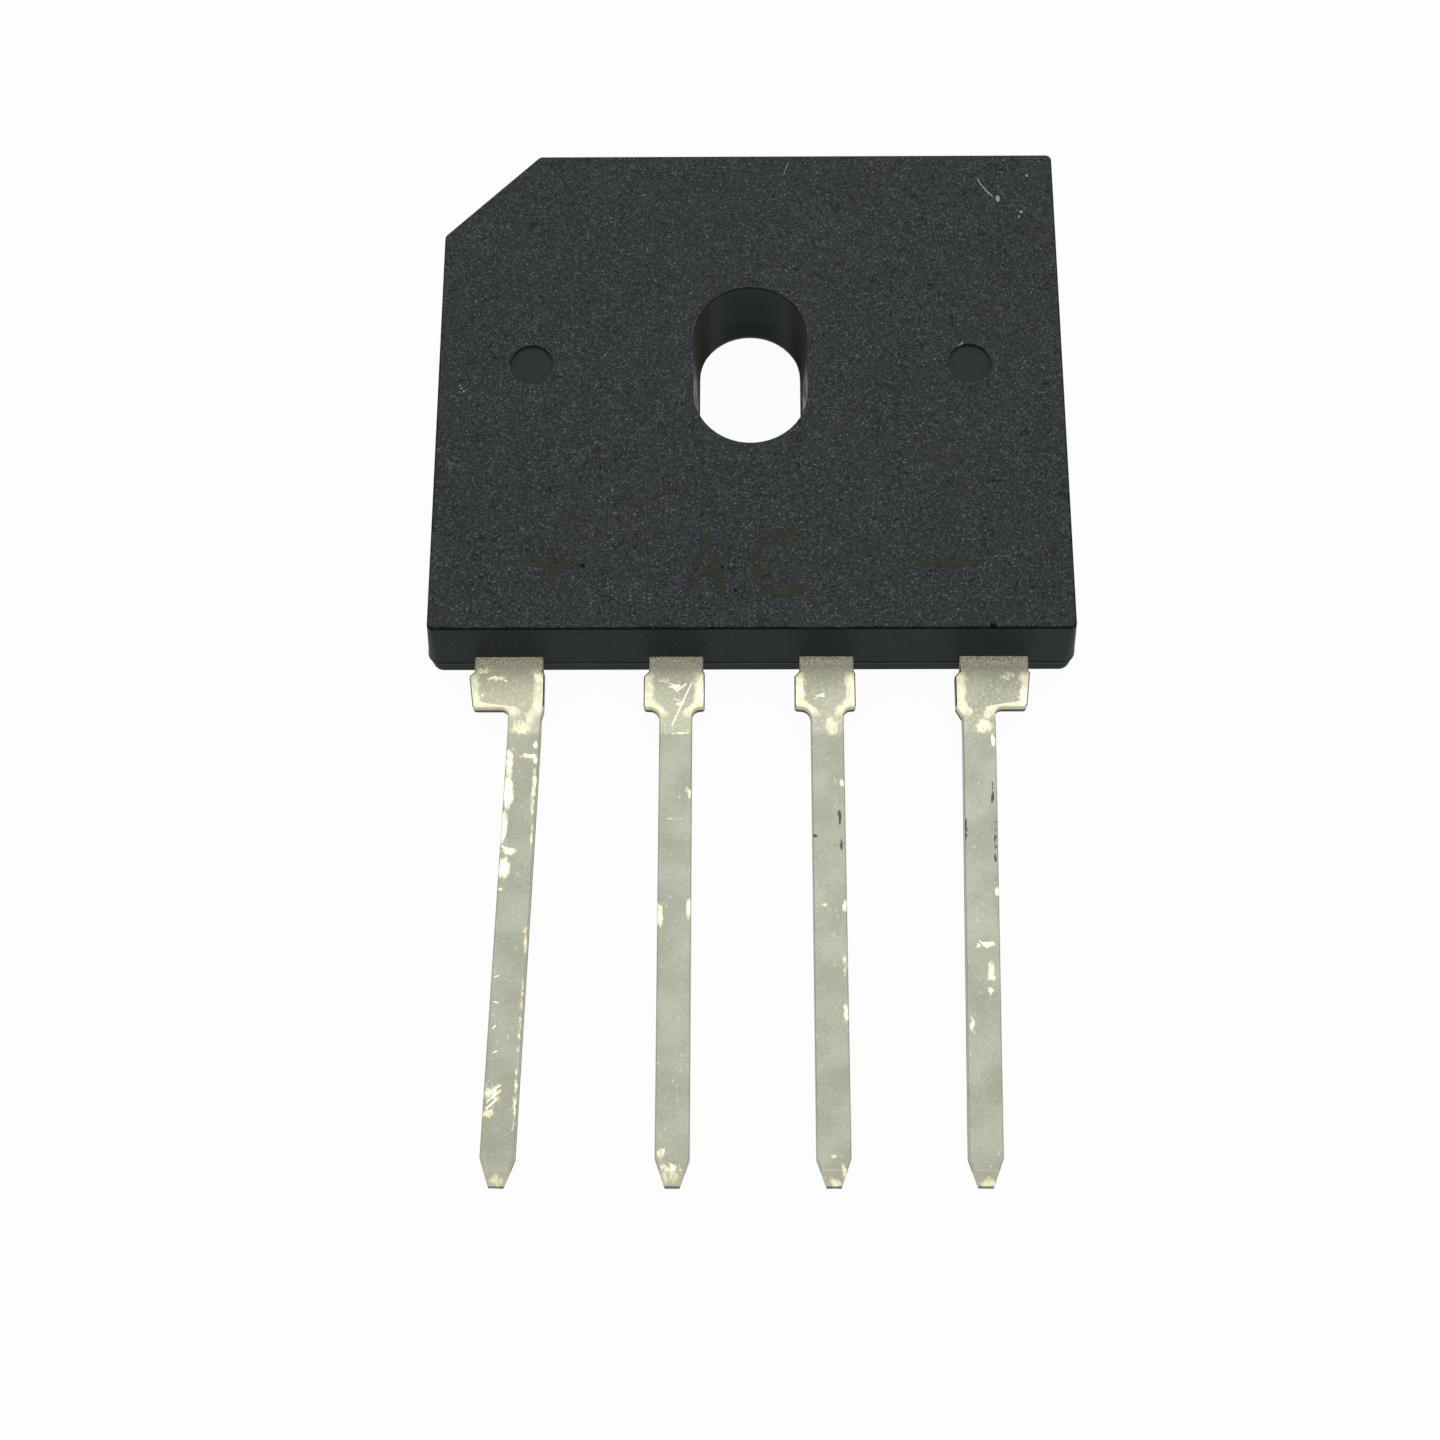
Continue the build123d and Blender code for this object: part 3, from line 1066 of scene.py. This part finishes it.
@dataclass
class LeadRow:
    """The four leads in their row."""

    pitch: float = 5.08
    outer_reach: float = 1.73
    near_reach: float = 0.58
    inner_reach: float = 0.915
    scratch_crown: float = 0.003

    def __post_init__(self) -> None:
        """Make the four leads from left to right."""
        self.leads = [self.positive(), self.ac_left(), self.ac_right(), self.negative()]

    def dress(self, body: MouldedBody) -> None:
        """Give each lead its finish.

        Args:
            body: the body that the leads come out of.
        """
        for lead in self.leads:
            lead.dress(body)

    def build_scratches(self, body: MouldedBody) -> None:
        """Lay the fine bright scratches on the leads' front faces.

        Args:
            body: the body that the leads come out of.
        """
        piece = Piece("lead_scratches")
        for lead in self.leads:
            for scratch in lead.scratches:
                path = line(lead.place(*scratch.start, body), lead.place(*scratch.end, body))
                piece.add(film(path, scratch.width, lead.top, self.scratch_crown))
        # Freshly bared tin, which glints against the dull plating
        burnished = PlainFinish("tin_scratched_bright", "f0ecd6", "dcd8c0", 1.0, 0.35, 0.1)
        piece.make(burnished.material())

    def positive(self) -> Lead:
        """Make the positive lead, next to the cut corner, knocked sideways and the most worn.

        Returns:
            The lead with its wear.
        """
        rubs = (
            Rub(-1.42, 0.42, 0.24, 0.12, 0.4), Rub(-1.5, 1.45, 0.2, 0.3, 0.16),
            Rub(-0.95, 0.72, 0.34, 0.1, 0.34), Rub(0.42, 0.55, 0.22, 0.24, 0.3),
            Rub(-0.1, 2.55, 0.26, 0.12, 0.24), Rub(-0.42, 3.7, 0.14, 0.5, 0.42),
            Rub(-0.4, 4.75, 0.18, 0.6, 0.58), Rub(-0.48, 6.0, 0.12, 0.6, 0.58),
            Rub(-0.25, 6.8, 0.25, 0.12, 0.45), Rub(-0.38, 7.4, 0.18, 0.35, 0.56),
            Rub(-0.45, 8.1, 0.06, 0.06, 0.4), Rub(0.25, 3.5, 0.28, 0.07, 0.5),
            Rub(0.45, 3.65, 0.07, 0.15, 0.5), Rub(0.42, 3.1, 0.06, 0.15, 0.4),
            Rub(0.46, 4.6, 0.08, 0.9, 0.32), Rub(0.47, 6.3, 0.05, 0.4, 0.35),
            Rub(0.47, 9.9, 0.07, 0.5, 0.28), Rub(0.48, 12.3, 0.07, 1.2, 0.24),
            Rub(0.46, 15.0, 0.08, 1.1, 0.26), Rub(-0.3, 14.8, 0.28, 0.35, 0.28),
            Rub(-0.35, 15.45, 0.2, 0.15, 0.34), Rub(0.0, 17.58, 0.22, 0.2, 0.4),
        )
        presses = (
            Rub(-0.08, 2.5, 0.38, 0.26, 0.9), Rub(0.2, 2.12, 0.17, 0.32, 0.9),
        )
        scratches = (
            Scratch((-1.14, 0.69), (-1.0, 0.64), 0.09), Scratch((-0.94, 0.68), (-0.8, 0.73), 0.08),
            Scratch((-0.73, 0.77), (-0.6, 0.83), 0.07), Scratch((0.05, 3.42), (0.5, 3.6), 0.07),
            Scratch((-0.5, 6.62), (-0.15, 6.95), 0.08), Scratch((-0.45, 11.05), (-0.3, 11.0)),
            Scratch((-0.42, 11.85), (-0.25, 11.9)), Scratch((-0.4, 12.75), (-0.3, 12.62), 0.06),
            Scratch((-0.33, 13.52), (-0.2, 13.45), 0.06), Scratch((-0.42, 14.8), (0.0, 14.55), 0.07),
            Scratch((-0.42, 15.08), (0.0, 14.72), 0.07), Scratch((-0.45, 15.32), (-0.1, 15.0), 0.08),
        )
        reach = (self.outer_reach, self.near_reach)
        return Lead("lead_positive", -1.5 * self.pitch, *reach, lean=1.7, pressed=0.5,
                    rubs=rubs, presses=presses, scratches=scratches)

    def ac_left(self) -> Lead:
        """Make the left AC lead.

        Returns:
            The lead with its wear.
        """
        rubs = (
            Rub(0.83, 1.15, 0.12, 0.5, 0.2), Rub(-0.02, 1.05, 0.2, 0.12, 0.4),
            Rub(-0.4, 0.82, 0.25, 0.07, 0.26), Rub(0.15, 1.66, 0.2, 0.06, 0.4),
            Rub(0.17, 2.7, 0.24, 0.04, 0.4), Rub(0.0, 2.72, 0.45, 0.03, 0.22),
            Rub(0.45, 4.8, 0.1, 0.2, 0.35), Rub(0.0, 5.7, 0.35, 0.03, 0.24),
            Rub(0.48, 8.7, 0.1, 0.4, 0.4), Rub(-0.48, 9.0, 0.12, 0.4, 0.5),
            Rub(-0.35, 16.75, 0.13, 0.2, 0.36), Rub(-0.05, 17.35, 0.3, 0.35, 0.4),
        )
        scratches = (
            Scratch((0.54, 0.86), (-0.13, 2.43), 0.06), Scratch((-0.42, 0.84), (-0.05, 0.95), 0.04),
            Scratch((0.0, 1.2), (0.36, 0.92), 0.07), Scratch((-0.1, 1.45), (0.3, 1.62), 0.04),
        )
        reach = (self.inner_reach, self.inner_reach)
        return Lead("lead_ac_left", -0.5 * self.pitch, *reach, lean=0.0, pressed=0.4,
                    rubs=rubs, scratches=scratches)

    def ac_right(self) -> Lead:
        """Make the right AC lead, with dark stains near its right edge.

        Returns:
            The lead with its wear.
        """
        rubs = (
            Rub(-0.9, 1.1, 0.1, 0.6, 0.16), Rub(0.8, 0.9, 0.12, 0.4, 0.14),
            Rub(0.2, 2.4, 0.1, 0.24, 0.24), Rub(-0.2, 1.36, 0.2, 0.06, 0.26),
            Rub(0.45, 4.5, 0.08, 0.2, 0.35), Rub(-0.2, 8.65, 0.18, 0.07, 0.26),
            Rub(0.48, 8.7, 0.1, 0.25, 0.4), Rub(0.46, 10.7, 0.08, 0.4, 0.28),
            Rub(0.46, 12.2, 0.08, 0.35, 0.42), Rub(0.04, 16.8, 0.16, 0.08, 0.26),
            Rub(0.3, 17.3, 0.08, 0.3, 0.35), Rub(0.0, 17.62, 0.22, 0.15, 0.4),
        )
        presses = (
            Rub(0.16, 2.42, 0.24, 0.34, 0.9), Rub(0.4, 1.9, 0.15, 0.25, 0.8),
        )
        stains = (
            Rub(0.36, 5.6, 0.07, 0.3, 0.45), Rub(0.4, 6.6, 0.06, 0.3, 0.38),
            Rub(-0.45, 6.3, 0.08, 0.08, 0.4),
        )
        scratches = (
            Scratch((-0.47, 1.5), (-0.06, 1.26), 0.04), Scratch((-0.2, 1.33), (-0.05, 1.4), 0.03),
        )
        reach = (self.inner_reach, self.inner_reach)
        return Lead("lead_ac_right", 0.5 * self.pitch, *reach, lean=0.0, pressed=0.25,
                    rubs=rubs, presses=presses, stains=stains, scratches=scratches)

    def negative(self) -> Lead:
        """Make the negative lead, knocked sideways, with dark stains near its right edge.

        Returns:
            The lead with its wear.
        """
        rubs = (
            Rub(1.5, 1.4, 0.14, 0.3, 0.24), Rub(1.1, 0.7, 0.4, 0.14, 0.22),
            Rub(0.2, 2.42, 0.16, 0.2, 0.28), Rub(0.45, 3.0, 0.08, 0.25, 0.42),
            Rub(0.5, 8.2, 0.1, 0.15, 0.5), Rub(0.1, 10.0, 0.32, 0.1, 0.34),
            Rub(0.25, 10.9, 0.13, 0.4, 0.34), Rub(0.2, 11.5, 0.1, 0.15, 0.36),
            Rub(-0.38, 12.6, 0.1, 0.3, 0.3), Rub(0.05, 17.62, 0.24, 0.18, 0.4),
        )
        presses = (
            Rub(0.16, 2.46, 0.28, 0.3, 0.95), Rub(0.3, 2.05, 0.14, 0.25, 0.85),
        )
        stains = (
            Rub(0.38, 4.9, 0.06, 0.5, 0.4), Rub(0.46, 6.8, 0.06, 1.2, 0.3),
            Rub(-0.5, 6.1, 0.05, 0.6, 0.3),
        )
        scratches = (
            Scratch((-0.12, 9.85), (0.12, 10.08), 0.05), Scratch((0.1, 10.1), (0.36, 9.92), 0.05),
        )
        reach = (self.near_reach, self.outer_reach)
        return Lead("lead_negative", 1.5 * self.pitch, *reach, lean=1.27, pressed=0.15,
                    rubs=rubs, presses=presses, stains=stains, scratches=scratches)


@dataclass(frozen=True)
class InnerCircuit:
    """The pieces sealed inside the body: dark glossy silicon, satin grey solder and warm satin copper."""

    silicon: PlainFinish = PlainFinish("silicon_polished", "34363c", "40434a", 0.6, 0.25)
    solder: PlainFinish = PlainFinish("solder_reflowed", "8f9092", "a8a9aa", 1.0, 0.4)
    copper: PlainFinish = PlainFinish("copper_punched", "b87350", "c98a64", 1.0, 0.35)

    def dress(self) -> None:
        """Give each sealed node the finish of what it is made of."""
        silicon, solder, copper = (f.material() for f in (self.silicon, self.solder, self.copper))
        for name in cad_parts:
            if "solder" in name:
                assign(name, solder)
            elif name.startswith("diode_die"):
                assign(name, silicon)
            elif name.startswith("clip"):
                assign(name, copper)


def seen_directly(tree: bpy.types.NodeTree) -> Socket:
    """Say where the camera, a reflection or a clear material looks at the background.

    Args:
        tree: the node tree that asks.

    Returns:
        A socket that is 1 for such rays and 0 for light that falls on the part.
    """
    path = node(tree, "ShaderNodeLightPath")
    rays = {0: path.outputs["Is Camera Ray"], 1: path.outputs["Is Glossy Ray"]}
    mirrored = node(tree, "ShaderNodeMath", rays, operation="MAXIMUM")
    rays = {0: mirrored.outputs[0], 1: path.outputs["Is Transmission Ray"]}
    return node(tree, "ShaderNodeMath", rays, operation="MAXIMUM").outputs[0]


@dataclass
class Studio:
    """Pale table, soft light and the camera at the photograph's angle. Lengths in millimetres."""

    target: tuple[float, float, float] = (-1.0671, -11.8464, 0.0)
    azimuth: float = 1.4541
    elevation: float = 69.7464
    roll: float = -1.4702
    distance: float = 79.6412
    lens: float = 58.37
    sensor: float = 36.0
    table: float = 1200.0
    ambient: float = 0.72
    box_power: float = 0.12
    box_size: float = 170.0
    box_distance: float = 260.0
    box_from: tuple[float, float, float] = (0.08, 0.36, 0.93)
    box_at: tuple[float, float, float] = (0.0, -8.0, 0.0)
    paper: str = "f4f4f4"
    paper_glow: float = 0.96
    nearest: float = 1.0
    farthest: float = 5000.0

    def build_camera(self) -> None:
        """Set the camera on its line of sight."""
        turn, rise, roll = (math.radians(v) for v in (self.azimuth, self.elevation, self.roll))
        back = Vector((math.sin(turn) * math.cos(rise), -math.cos(turn) * math.cos(rise), math.sin(rise)))
        right = (-back).cross(Vector((0, 0, 1))).normalized()
        up = right.cross(-back)
        tilted_right = math.cos(roll) * right + math.sin(roll) * up
        tilted_up = -math.sin(roll) * right + math.cos(roll) * up
        data = bpy.data.cameras.new("camera")
        data.lens, data.sensor_width = self.lens, self.sensor
        data.clip_start, data.clip_end = self.nearest * MM, self.farthest * MM
        made = add_object("camera", data)
        turned = Matrix((tilted_right, tilted_up, back)).transposed()
        place = (Vector(self.target) + back * self.distance) * MM
        made.matrix_world = Matrix.Translation(place) @ turned.to_4x4()
        bpy.context.scene.camera = made

    def build_table(self) -> None:
        """Lay the pale table that keeps the part's soft shadow."""
        half = self.table / 2
        spread = np.array([(-half, -half, 0), (half, -half, 0), (half, half, 0), (-half, half, 0)])
        mesh = bpy.data.meshes.new("table")
        mesh.from_pydata(spread * MM, [], [(0, 1, 2, 3)])
        made = add_object("table", mesh)
        # White paper, which is seen as an even white and still takes a faint shadow
        material = bpy.data.materials.new("white_paper")
        material.use_nodes = True
        tree = material.node_tree
        tree.nodes.clear()
        seen = seen_directly(tree)
        paper = node(tree, "ShaderNodeBsdfDiffuse", {"Color": linear(self.paper)})
        glow = node(tree, "ShaderNodeEmission", {"Color": (1, 1, 1, 1), "Strength": 1.0})
        share = node(tree, "ShaderNodeMath", {0: seen, 1: self.paper_glow}, operation="MULTIPLY")
        parts = {0: share.outputs[0], 1: paper.outputs[0], 2: glow.outputs[0]}
        mixed = node(tree, "ShaderNodeMixShader", parts)
        node(tree, "ShaderNodeOutputMaterial", {"Surface": mixed.outputs[0]})
        mesh.materials.append(material)

    def build_light(self) -> None:
        """Light the part with an even room and one soft box behind and above it."""
        world = bpy.data.worlds.new("white_room")
        bpy.context.scene.world = world
        world.use_nodes = True
        tree = world.node_tree
        tree.nodes.clear()
        seen = seen_directly(tree)
        level = node(tree, "ShaderNodeMix", {0: seen, 2: self.ambient, 3: 1.0}, data_type="FLOAT")
        sky = node(tree, "ShaderNodeBackground", {"Color": (1, 1, 1, 1), "Strength": level.outputs[0]})
        node(tree, "ShaderNodeOutputWorld", {"Surface": sky.outputs[0]})
        data = bpy.data.lights.new("soft_box", "AREA")
        data.shape, data.size = "SQUARE", self.box_size * MM
        data.energy = self.box_power
        lamp = add_object("soft_box", data)
        away = Vector(self.box_from).normalized()
        lamp.location = (Vector(self.box_at) + away * self.box_distance) * MM
        lamp.rotation_mode = "QUATERNION"
        lamp.rotation_quaternion = away.to_track_quat("Z", "Y")


def main() -> None:
    """Build and dress the part, then set up the studio round it."""
    logging.basicConfig(level=logging.INFO, format="%(name)s: %(message)s")
    bpy.context.scene.view_settings.view_transform = "Standard"
    body = MouldedBody()
    row = LeadRow()
    body.dress()
    row.dress(body)
    InnerCircuit().dress()
    body.build_flash(row.leads)
    body.build_print()
    body.build_scuffs()
    row.build_scratches(body)
    studio = Studio()
    studio.build_table()
    studio.build_light()
    studio.build_camera()


if __name__ == "__main__":
    main()
